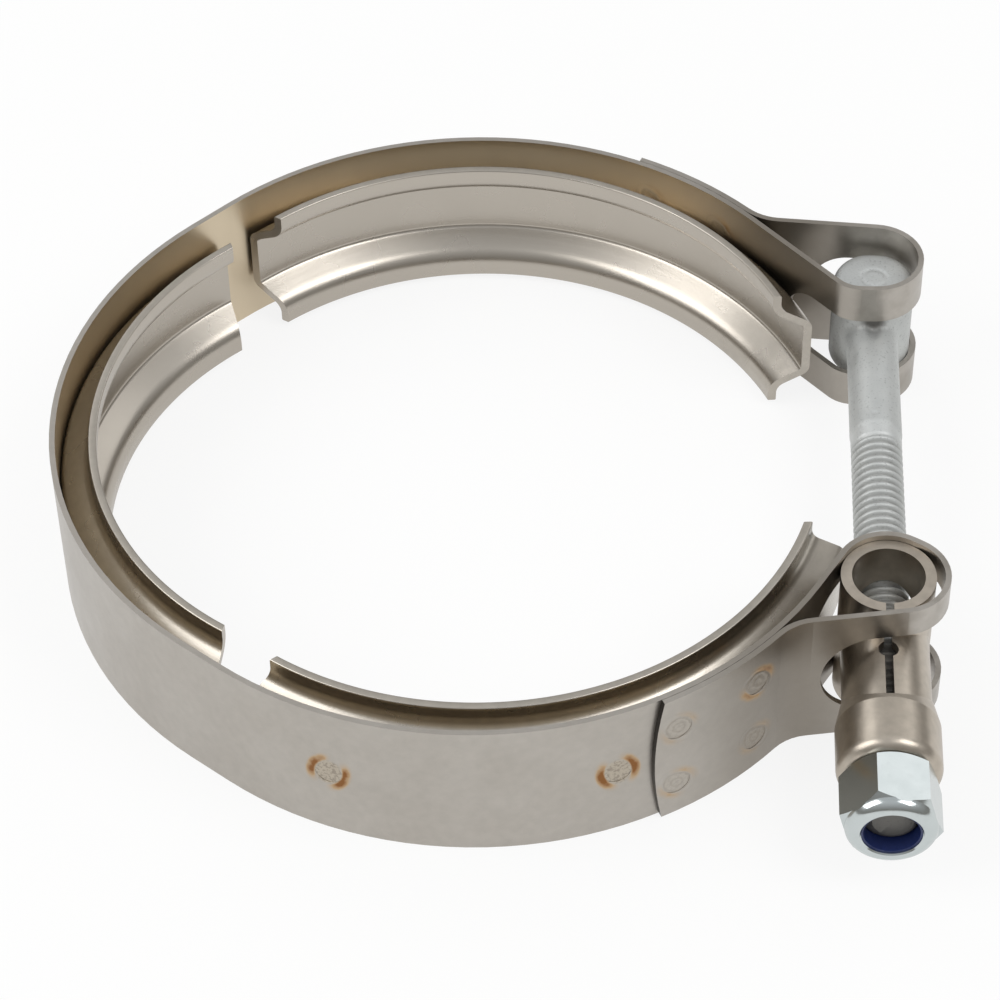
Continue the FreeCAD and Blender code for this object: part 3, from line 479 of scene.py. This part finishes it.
for node, material in (
    ("strap", STRAP_STEEL),
    ("retainer_rear", RETAINER_STEEL),
    ("retainer_left", RETAINER_STEEL),
    ("retainer_front", RETAINER_STEEL),
    ("trunnion", TRUNNION_STEEL),
    ("trunnion_collar", TRUNNION_STEEL),
    ("t_bolt", BOLT_ZINC),
    ("lock_nut", NUT_ZINC),
    ("nylon_insert", BLUE_NYLON),
):
    dress(node, material)


# ---------------------------------------------------------------- making pieces

def new_geometry_tree(name, inputs):
    """A Geometry Nodes tree with named inputs of each kind: returns it and what those inputs give."""
    tree = bpy.data.node_groups.new(name, "GeometryNodeTree")
    tree.interface.new_socket("Geometry", in_out="OUTPUT", socket_type="NodeSocketGeometry")
    for kind, labels in inputs.items():
        for label in labels:
            tree.interface.new_socket(label, in_out="INPUT", socket_type="NodeSocket" + kind)
    return tree, add(tree, "NodeGroupInput").outputs


def new_holder(mesh):
    """An object that carries a mesh while modifiers shape it."""
    holder = bpy.data.objects.new("holder", mesh)
    bpy.context.scene.collection.objects.link(holder)
    return holder


def grown(mesh, tree, values):
    """The mesh that a Geometry Nodes tree makes of a mesh, with its named inputs set."""
    holder = new_holder(mesh)
    modifier = holder.modifiers.new(tree.name, "NODES")
    modifier.node_group = tree
    for item in tree.interface.items_tree:
        if item.in_out == "INPUT" and item.name in values:
            modifier[item.identifier] = values[item.name]
    return baked(holder)


def baked(holder):
    """The holder's mesh as its modifiers make it. The holder itself goes."""
    seen = bpy.context.evaluated_depsgraph_get()
    seen.update()
    mesh = bpy.data.meshes.new_from_object(holder.evaluated_get(seen))
    bpy.data.objects.remove(holder)
    return mesh


def cut_below(shape, y):
    """Takes away what lies below y, in millimetres."""
    bmesh.ops.bisect_plane(shape, geom=shape.verts[:] + shape.edges[:] + shape.faces[:],
                           plane_co=(0, y * MM, 0), plane_no=(0, -1, 0), clear_outer=True)


def open_edges(shape):
    """The edges round the holes in a bmesh."""
    return [edge for edge in shape.edges if edge.is_boundary]


def finish_piece(shape, name, material, body, node):
    """Turns a bmesh into a finished piece that stands for a CAD node."""
    bmesh.ops.recalc_face_normals(shape, faces=shape.faces[:])
    bmesh.ops.triangulate(shape, faces=[f for f in shape.faces if len(f.verts) > 4])
    mesh = bpy.data.meshes.new(name)
    shape.to_mesh(mesh)
    shape.free()
    mesh.materials.clear()
    mesh.materials.append(material)
    mesh.polygons.foreach_set("use_smooth", [True] * len(mesh.polygons))
    mesh.polygons.foreach_set("material_index", [0] * len(mesh.polygons))
    mesh.set_sharp_from_angle(angle=math.radians(40))
    piece = bpy.data.objects.new(name, mesh)
    bpy.context.scene.collection.objects.link(piece)
    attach(piece, body)
    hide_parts(node)


# ---------------------------------------------------------------- the retainers

def rounded_end(skin, outward, inward):
    """Points round a sheared edge, from the sheet's face to its end."""
    return [skin - outward * EDGE_ROUNDING * (1 - math.sin(a)) + inward * EDGE_ROUNDING * (1 - math.cos(a))
            for a in (0, math.pi / 6, math.pi / 3, math.pi / 2)]


def bent_outline():
    """Outline of a retainer's section in millimetres, as (radius, height), round both faces."""
    half_sheet = RETAINER_SHEET / 2
    lip, web = LIP_RADIUS + half_sheet, LIP_RADIUS + RETAINER_DEPTH - half_sheet
    knee = RETAINER_HALF_HEIGHT - LIP_LENGTH
    foot = knee - LEG_RISE
    middle = [Vector(p) for p in ((lip, RETAINER_HALF_HEIGHT), (lip, knee), (web, foot), (web, -foot),
                                  (lip, -knee), (lip, -RETAINER_HALF_HEIGHT))]
    bends = (None, LIP_BEND, WEB_BEND, WEB_BEND, LIP_BEND, None)
    faces = {1: [], -1: []}
    for i, (corner, bend) in enumerate(zip(middle, bends)):
        before = (corner - middle[i - 1]).normalized() if i else (middle[1] - corner).normalized()
        after = (middle[i + 1] - corner).normalized() if bend or not i else before
        left = Vector((-before.y, before.x))
        for side in (1, -1):
            if bend is None:
                skin = corner + left * side * half_sheet
                rounded = rounded_end(skin, left * side, -before if i else after)
                faces[side] += rounded[::-1] if i else rounded
                continue
            turn = 1 if before.x * after.y - before.y * after.x > 0 else -1
            half = before.angle(after) / 2
            centre = corner - before * bend * math.tan(half) + left * turn * bend
            spoke = -left * turn * (bend - side * turn * half_sheet)
            faces[side] += [centre + Matrix.Rotation(turn * 2 * half * k / BEND_STEPS, 2) @ spoke
                            for k in range(BEND_STEPS + 1)]
    loop = faces[1] + faces[-1][::-1]
    fine = []
    for here, there in zip(loop, loop[1:] + loop[:1]):
        parts = max(1, math.ceil((there - here).length / OUTLINE_STEP))
        fine += [here.lerp(there, k / parts) for k in range(parts)]
    return fine


def sweep_tree():
    """Geometry Nodes: sweeps a section round an arc, its ends slanted so that the lips end short."""
    tree, given = new_geometry_tree("swept_retainer", {
        "Geometry": ("Section",), "Float": ("Lip Radius", "Depth", "Slant", "Half Arc", "Middle", "Shift"),
        "Int": ("Steps",), "Material": ("Material",)})
    steps = given["Steps"]
    size = add(tree, "GeometryNodeAttributeDomainSize", {"Geometry": given["Section"]})
    count = size.outputs["Point Count"]
    # A grid with a column for each corner of the section and a row for each step of the arc. Its last
    # column is its first one again, and is merged with it.
    columns = add(tree, "ShaderNodeMath", {0: count, 1: 1.0}, operation="ADD")
    grid = add(tree, "GeometryNodeMeshGrid", {"Vertices X": columns, "Vertices Y": steps})
    index = add(tree, "GeometryNodeInputIndex")
    index_in_rows = add(tree, "ShaderNodeMath", {0: index, 1: steps}, operation="DIVIDE")
    column = add(tree, "ShaderNodeMath", {0: index_in_rows}, operation="FLOOR")
    row = add(tree, "ShaderNodeMath", {0: index, 1: steps}, operation="MODULO")
    corner = add(tree, "GeometryNodeSampleIndex", {
        "Geometry": given["Section"], "Value": add(tree, "GeometryNodeInputPosition"),
        "Index": add(tree, "ShaderNodeMath", {0: column, 1: count}, operation="MODULO")},
        data_type="FLOAT_VECTOR")
    radius, _, height = add(tree, "ShaderNodeSeparateXYZ", {0: corner}).outputs
    # The share of the arc runs from -1 to 1, and the half arc grows from the lips to the web.
    last = add(tree, "ShaderNodeMath", {0: steps, 1: 1.0}, operation="SUBTRACT")
    gone = add(tree, "ShaderNodeMath", {0: row, 1: last}, operation="DIVIDE")
    share = add(tree, "ShaderNodeMath", {0: gone, 1: 2.0, 2: -1.0}, operation="MULTIPLY_ADD")
    out = add(tree, "ShaderNodeMath", {0: radius, 1: given["Lip Radius"]}, operation="SUBTRACT")
    how_far_out = add(tree, "ShaderNodeMath", {0: out, 1: given["Depth"]}, operation="DIVIDE")
    lean = add(tree, "ShaderNodeMath", {0: how_far_out, 1: given["Slant"]}, operation="MULTIPLY")
    more = add(tree, "ShaderNodeMath", {0: lean, 1: radius}, operation="ARCTAN2")
    half = add(tree, "ShaderNodeMath", {0: given["Half Arc"], 1: more}, operation="ADD")
    angle = add(tree, "ShaderNodeMath", {0: share, 1: half, 2: given["Middle"]}, operation="MULTIPLY_ADD")
    across = []
    for operation in ("COSINE", "SINE"):
        toward = add(tree, "ShaderNodeMath", {0: given["Middle"]}, operation=operation)
        centre = add(tree, "ShaderNodeMath", {0: toward, 1: given["Shift"]}, operation="MULTIPLY")
        round_arc = add(tree, "ShaderNodeMath", {0: angle}, operation=operation)
        across.append(add(tree, "ShaderNodeMath", {0: round_arc, 1: radius, 2: centre},
                          operation="MULTIPLY_ADD"))
    new = add(tree, "ShaderNodeCombineXYZ", {0: across[0], 1: across[1], 2: height})
    moved = add(tree, "GeometryNodeSetPosition", {"Geometry": grid, "Position": new})
    closed = add(tree, "GeometryNodeMergeByDistance", {"Geometry": moved, "Distance": 0.001 * MM})
    whole = add(tree, "GeometryNodeRealizeInstances", {"Geometry": closed})
    dressed = add(tree, "GeometryNodeSetMaterial", {"Geometry": whole, "Material": given["Material"]})
    add(tree, "NodeGroupOutput", {"Geometry": dressed})
    return tree


def make_retainers():
    """The three roll-formed retainers, each a bent section swept round its own arc."""
    tree = sweep_tree()
    outline = bent_outline()
    for which, (middle, shift) in RETAINERS.items():
        section = bpy.data.meshes.new("section")
        section.from_pydata([(p.x * MM, 0, p.y * MM) for p in outline], [], [])
        shape = bmesh.new()
        shape.from_mesh(grown(section, tree, {
            "Lip Radius": LIP_RADIUS * MM, "Depth": RETAINER_DEPTH * MM, "Slant": RETAINER_END_SLANT * MM,
            "Half Arc": math.radians(RETAINER_HALF_ARC), "Middle": math.radians(middle),
            "Shift": (shift + RETAINER_EXTRA_SHIFT) * MM, "Steps": RETAINER_STEPS,
            "Material": RETAINER_STEEL}))
        bmesh.ops.holes_fill(shape, edges=open_edges(shape))
        finish_piece(shape, "swept_retainer_" + which, RETAINER_STEEL, "band", "retainer_" + which)


# ---------------------------------------------------------------- the bolt

def thread_tree():
    """Geometry Nodes: a closed rolled thread along the bolt, with its run-out and rounded end."""
    tree, given = new_geometry_tree("rolled_thread", {
        "Float": ("Axis X", "Start Y", "End Y", "Pitch", "Depth", "Radius", "Shank Radius", "Neck",
                  "Plain", "Run Out", "Rounding"),
        "Int": ("Sides", "Rings"), "Material": ("Material",)})
    tube = add(tree, "GeometryNodeMeshCylinder", {
        "Vertices": given["Sides"], "Side Segments": given["Rings"], "Radius": 1.0, "Depth": 1.0},
        fill_type="TRIANGLE_FAN")
    across, up, along = add(tree, "ShaderNodeSeparateXYZ", {
        0: add(tree, "GeometryNodeInputPosition")}).outputs
    span = add(tree, "ShaderNodeMath", {0: given["End Y"], 1: given["Start Y"]}, operation="SUBTRACT")
    gone = add(tree, "ShaderNodeMath", {0: along, 1: 0.5}, operation="ADD")
    y = add(tree, "ShaderNodeMath", {0: gone, 1: span, 2: given["Start Y"]}, operation="MULTIPLY_ADD")
    from_start = add(tree, "ShaderNodeMath", {0: given["Start Y"], 1: y}, operation="SUBTRACT")
    # The groove winds round the bolt, with broad crests and narrower roots.
    angle = add(tree, "ShaderNodeMath", {0: up, 1: across}, operation="ARCTAN2")
    turn = add(tree, "ShaderNodeMath", {0: angle, 1: 2 * math.pi}, operation="DIVIDE")
    pitches = add(tree, "ShaderNodeMath", {0: y, 1: given["Pitch"]}, operation="DIVIDE")
    turns = add(tree, "ShaderNodeMath", {0: pitches, 1: turn}, operation="ADD")
    phase = add(tree, "ShaderNodeMath", {0: turns, 1: 2 * math.pi}, operation="MULTIPLY")
    wave = add(tree, "ShaderNodeMath", {0: phase}, operation="COSINE")
    dip = add(tree, "ShaderNodeMath", {0: wave, 1: -0.5, 2: 0.5}, operation="MULTIPLY_ADD")
    groove = add(tree, "ShaderNodeMath", {0: dip, 1: 1.3}, operation="POWER")
    fade = add(tree, "ShaderNodeMapRange", {0: from_start, 1: given["Plain"], 2: given["Run Out"]},
               interpolation_type="SMOOTHSTEP")
    faded = add(tree, "ShaderNodeMath", {0: groove, 1: fade}, operation="MULTIPLY")
    cut = add(tree, "ShaderNodeMath", {0: faded, 1: given["Depth"]}, operation="MULTIPLY")
    # The blank comes down from the shank's radius to the thread's, and is rounded off at its end.
    blank = add(tree, "ShaderNodeMapRange", {
        0: from_start, 1: 0.0, 2: given["Neck"], 3: given["Shank Radius"], 4: given["Radius"]},
        interpolation_type="SMOOTHSTEP")
    to_end = add(tree, "ShaderNodeMath", {0: y, 1: given["End Y"]}, operation="SUBTRACT")
    past = add(tree, "ShaderNodeMath", {0: given["Rounding"], 1: to_end}, operation="SUBTRACT")
    round_off = add(tree, "ShaderNodeMath", {0: past, 1: 0.0}, operation="MAXIMUM")
    radius = add(tree, "ShaderNodeMath", {0: blank, 1: cut}, operation="SUBTRACT")
    radius = add(tree, "ShaderNodeMath", {0: radius, 1: round_off}, operation="SUBTRACT")
    x = add(tree, "ShaderNodeMath", {0: across, 1: radius, 2: given["Axis X"]}, operation="MULTIPLY_ADD")
    z = add(tree, "ShaderNodeMath", {0: up, 1: radius}, operation="MULTIPLY")
    new = add(tree, "ShaderNodeCombineXYZ", {0: x, 1: y, 2: z})
    moved = add(tree, "GeometryNodeSetPosition", {"Geometry": tube, "Position": new})
    whole = add(tree, "GeometryNodeRealizeInstances", {"Geometry": moved})
    dressed = add(tree, "GeometryNodeSetMaterial", {"Geometry": whole, "Material": given["Material"]})
    add(tree, "NodeGroupOutput", {"Geometry": dressed})
    return tree


def thread_mesh(start_y):
    """The threaded length, from start_y to the bolt's end."""
    sizes = {"Axis X": BOLT_X, "Start Y": start_y, "End Y": BOLT_END_Y, "Pitch": THREAD_PITCH,
             "Depth": THREAD_DEPTH, "Radius": THREAD_MAJOR_RADIUS, "Shank Radius": SHANK_RADIUS,
             "Neck": THREAD_NECK, "Plain": THREAD_PLAIN, "Run Out": THREAD_RUN_OUT,
             "Rounding": BOLT_END_ROUNDING}
    values = {name: size * MM for name, size in sizes.items()}
    values["Sides"] = THREAD_SIDES
    values["Rings"] = round((start_y - BOLT_END_Y) / THREAD_PITCH * THREAD_RINGS_A_PITCH)
    values["Material"] = BOLT_ZINC
    return grown(bpy.data.meshes.new("thread"), thread_tree(), values)


def forged_head(end_y):
    """The bolt's head and shank down to end_y, softened as forging and plating leave them."""
    shape = bmesh.new()
    shape.from_mesh(NODES["t_bolt"].data)
    bmesh.ops.remove_doubles(shape, verts=shape.verts, dist=0.001 * MM)
    # The softening shrinks the lower end, so the blank is 2 mm too long and is cut again.
    cut_below(shape, end_y - 2.0)
    bmesh.ops.holes_fill(shape, edges=open_edges(shape))
    blank = bpy.data.meshes.new("forged_head")
    shape.to_mesh(blank)
    shape.free()
    holder = new_holder(blank)
    even = holder.modifiers.new("even", "REMESH")
    even.mode = "VOXEL"
    even.voxel_size = FORGING_GRAIN * MM
    soften = holder.modifiers.new("soften", "SMOOTH")
    soften.factor = 0.5
    soften.iterations = 8
    shape = bmesh.new()
    shape.from_mesh(baked(holder))
    cut_below(shape, end_y)
    return shape


def dent(shape, place, reach, depth, way):
    """Presses a smooth dent into the bolt. place is from the middle of its cross head."""
    middle = Vector((BOLT_X, HEAD_Y, 0)) + Vector(place)
    for vertex in shape.verts:
        gone = vertex.co / MM - middle
        far = math.hypot(*(gone[k] / reach[k] for k in range(3)))
        if far < 1:
            vertex.co += Vector(way) * (depth * (1 - far) ** 2 * (1 + 2 * far)) * MM


def stamp_rings(shape):
    """Leaves the die's faint ring in both end faces of the cross head."""
    for vertex in shape.verts:
        x, y, z = vertex.co / MM
        if abs(z) > HEAD_HALF_LENGTH - STAMP_REACH:
            off = math.hypot(x - BOLT_X, y - HEAD_Y) - STAMP_RADIUS
            vertex.co.z -= math.copysign(STAMP_DEPTH * math.exp(-(off / STAMP_WIDTH) ** 2), z) * MM


def make_bolt():
    """The whole bolt, forged head and rolled thread in one closed skin."""
    shape = forged_head(THREAD_START_Y + SPLICE)
    stamp_rings(shape)
    for place, reach, depth, way in DENTS:
        dent(shape, place, reach, depth, way)
    thread_top = THREAD_START_Y + SPLICE / 2
    shape.from_mesh(thread_mesh(thread_top))
    cap = [f for f in shape.faces if all(abs(v.co.y - thread_top * MM) < 0.001 * MM for v in f.verts)]
    bmesh.ops.delete(shape, geom=cap, context="FACES")
    bmesh.ops.bridge_loops(shape, edges=open_edges(shape))
    bmesh.ops.triangulate(shape, faces=shape.faces[:])
    finish_piece(shape, "forged_t_bolt", BOLT_ZINC, "bolt", "t_bolt")


make_retainers()
make_bolt()


# ---------------------------------------------------------------- floor, light and camera

def make_floor():
    """A pale table top that shows near white to the eye and in the metal, and keeps the shadow."""
    half = 3.0               # metres
    white_to_eye = 0.86      # how much of it glows, the rest being paint that takes the shadow
    white_in_metal = 0.66
    z = CAD_BOX[0].z
    corners = [(-half, -half, z), (half, -half, z), (half, half, z), (-half, half, z)]
    mesh = bpy.data.meshes.new("floor")
    mesh.from_pydata(corners, [], [(0, 1, 2, 3)])
    floor = bpy.data.objects.new("floor", mesh)
    bpy.context.scene.collection.objects.link(floor)
    made = bpy.data.materials.new("pale_floor")
    made.use_nodes = True
    tree = made.node_tree
    tree.nodes.clear()
    path = add(tree, "ShaderNodeLightPath").outputs
    mirrored = add(tree, "ShaderNodeMath", {0: path["Is Glossy Ray"], 1: path["Is Transmission Ray"]},
                   operation="MAXIMUM")
    mirrored = add(tree, "ShaderNodeMath", {0: mirrored, 1: white_in_metal}, operation="MULTIPLY")
    share = add(tree, "ShaderNodeMath", {0: path["Is Camera Ray"], 1: white_to_eye, 2: mirrored},
                operation="MULTIPLY_ADD")
    paint = add(tree, "ShaderNodeBsdfDiffuse", {"Color": linear("#F2F2F0")})
    glow = add(tree, "ShaderNodeEmission", {"Color": linear("#FFFFFF"), "Strength": 1.0})
    both = add(tree, "ShaderNodeMixShader", {0: share, 1: paint, 2: glow})
    add(tree, "ShaderNodeOutputMaterial", {"Surface": both})
    mesh.materials.append(made)


def make_world():
    """A plain studio: brighter overhead than at eye level."""
    world = bpy.data.worlds.new("studio")
    bpy.context.scene.world = world
    world.use_nodes = True
    tree = world.node_tree
    tree.nodes.clear()
    way = add(tree, "ShaderNodeTexCoord").outputs["Generated"]
    up = add(tree, "ShaderNodeSeparateXYZ", {0: way}).outputs["Z"]
    height = add(tree, "ShaderNodeMapRange", {0: up, 1: 0.0, 2: 0.9})
    sky = add(tree, "ShaderNodeMix", {0: height, 6: linear("#8E8A84"), 7: linear("#E6E8EA")},
              data_type="RGBA")
    back = add(tree, "ShaderNodeBackground", {"Color": sky.outputs[2], "Strength": 0.8})
    add(tree, "ShaderNodeOutputWorld", {"Surface": back})


def soft_box(name, place, aim, size, watts):
    """A soft rectangular lamp at place that faces aim, all in metres."""
    lamp = bpy.data.lights.new(name, "AREA")
    lamp.shape = "RECTANGLE"
    lamp.size, lamp.size_y = size
    lamp.energy = watts
    box = bpy.data.objects.new(name, lamp)
    box.location = place
    box.rotation_euler = (Vector(aim) - Vector(place)).to_track_quat("-Z", "Y").to_euler()
    bpy.context.scene.collection.objects.link(box)


def make_camera():
    """A long lens that looks down on the clamp from the nut's side."""
    place = (0.02690, -0.37238, 0.38418)   # metres
    heading = 3.4                          # to the left of the bolt's own line
    look_down = 46.326
    roll = -1.145
    lens = bpy.data.cameras.new("camera")
    lens.sensor_width = 36.0
    lens.lens = 126.2
    camera = bpy.data.objects.new("camera", lens)
    turned = (Matrix.Rotation(math.radians(heading), 4, "Z")
              @ Matrix.Rotation(math.radians(90 - look_down), 4, "X")
              @ Matrix.Rotation(math.radians(roll), 4, "Z"))
    camera.matrix_world = Matrix.Translation(place) @ turned
    bpy.context.scene.collection.objects.link(camera)
    bpy.context.scene.camera = camera


make_floor()
make_world()
soft_box("key_light", (-0.62, -0.18, 0.6), (0, 0, 0), (0.6, 0.6), 3.2)
soft_box("side_light", (0.5, -0.22, 0.7), (0.03, 0, 0), (0.45, 0.45), 2.2)
soft_box("left_back_light", (-0.55, 0.65, 0.65), (0, 0, 0), (0.6, 0.5), 1.0)
soft_box("right_back_light", (0.6, 0.65, 0.65), (0, 0, 0), (0.6, 0.5), 0.75)
make_camera()
bpy.context.scene.view_settings.view_transform = "Standard"
